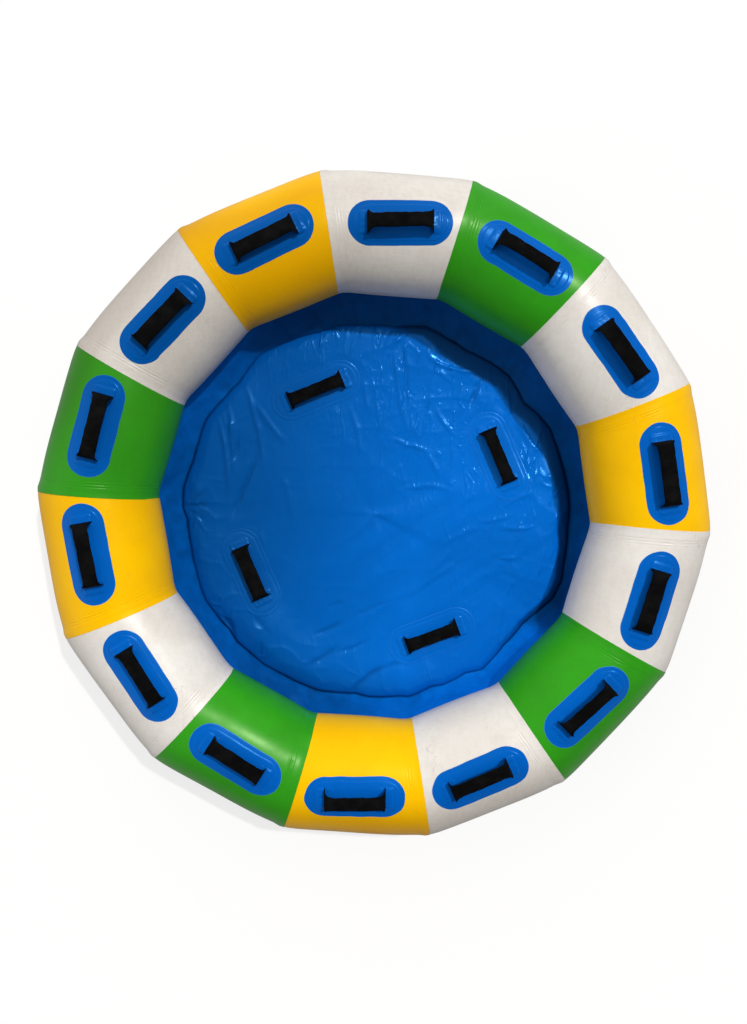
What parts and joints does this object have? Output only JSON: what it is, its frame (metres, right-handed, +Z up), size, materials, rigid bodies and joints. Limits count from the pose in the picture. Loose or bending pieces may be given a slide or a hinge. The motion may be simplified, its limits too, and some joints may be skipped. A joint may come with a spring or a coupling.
{
  "type": "river tube",
  "caption": "Round inflatable river tube: a ring tube of mitred tarpaulin panels with grab handles on its crown, an inner wall, a slack floor with handles and a side valve.",
  "frame": {"origin": "on the ground under the middle of the ring", "axes": "+Z up, +Y through the middle of the first white panel, +X the wider way, across two seams"},
  "size_m": [2.232, 2.176, 0.426],
  "materials": {
    "white_tarpaulin": "satin coated tarpaulin",
    "green_tarpaulin": "satin coated tarpaulin",
    "yellow_tarpaulin": "satin coated tarpaulin",
    "blue_patch": "satin coated tarpaulin",
    "blue_wall": "glossy coated tarpaulin",
    "blue_floor": "glossy coated tarpaulin",
    "black_webbing": "matte woven webbing",
    "valve_plastic": "moulded, matte",
    "plunger_plastic": "moulded, matte",
    "spring_steel": "drawn stainless wire",
    "leash_rubber": "matte"
  },
  "bodies": {
    "raft": {"tube_panel_01_white": "white_tarpaulin", "tube_panel_02_green": "green_tarpaulin", "tube_panel_03_white": "white_tarpaulin", "tube_panel_04_yellow": "yellow_tarpaulin", "tube_panel_05_white": "white_tarpaulin", "tube_panel_06_green": "green_tarpaulin", "tube_panel_07_white": "white_tarpaulin", "tube_panel_08_yellow": "yellow_tarpaulin", "tube_panel_09_green": "green_tarpaulin", "tube_panel_10_white": "white_tarpaulin", "tube_panel_11_yellow": "yellow_tarpaulin", "tube_panel_12_green": "green_tarpaulin", "tube_panel_13_white": "white_tarpaulin", "tube_panel_14_yellow": "yellow_tarpaulin", "handle_patch_01": "blue_patch", "handle_patch_02": "blue_patch", "handle_patch_03": "blue_patch", "handle_patch_04": "blue_patch", "handle_patch_05": "blue_patch", "handle_patch_06": "blue_patch", "handle_patch_07": "blue_patch", "handle_patch_08": "blue_patch", "handle_patch_09": "blue_patch", "handle_patch_10": "blue_patch", "handle_patch_11": "blue_patch", "handle_patch_12": "blue_patch", "handle_patch_13": "blue_patch", "handle_patch_14": "blue_patch", "grab_handle_01": "black_webbing", "grab_handle_02": "black_webbing", "grab_handle_03": "black_webbing", "grab_handle_04": "black_webbing", "grab_handle_05": "black_webbing", "grab_handle_06": "black_webbing", "grab_handle_07": "black_webbing", "grab_handle_08": "black_webbing", "grab_handle_09": "black_webbing", "grab_handle_10": "black_webbing", "grab_handle_11": "black_webbing", "grab_handle_12": "black_webbing", "grab_handle_13": "black_webbing", "grab_handle_14": "black_webbing", "inner_wall": "blue_wall", "floor_sheet": "blue_floor", "floor_patch_1": "blue_patch", "floor_patch_2": "blue_patch", "floor_patch_3": "blue_patch", "floor_patch_4": "blue_patch", "floor_handle_1": "black_webbing", "floor_handle_2": "black_webbing", "floor_handle_3": "black_webbing", "floor_handle_4": "black_webbing", "valve_body": "valve_plastic", "valve_nut": "valve_plastic", "valve_spring": "spring_steel", "cap_leash": "leash_rubber"},
    "plunger": {"valve_plunger": "plunger_plastic"},
    "cap": {"valve_cap": "valve_plastic"}
  },
  "joints": [
    {"name": "plunger_slide", "type": "slide", "parent": "raft", "child": "plunger", "axis": [0.4126, -0.8569, -0.309], "range_m": [-0.003, 0], "stiffness_N_per_m": 300, "springref_m": 0.003, "deforming": ["valve_spring"]},
    {"name": "cap_turn", "type": "hinge", "parent": "raft", "child": "cap", "pos_m": [0.40501, -1.00234, 0.1299], "axis": [0.4126, -0.8569, -0.309], "range_deg": [0, 450]}
  ]
}
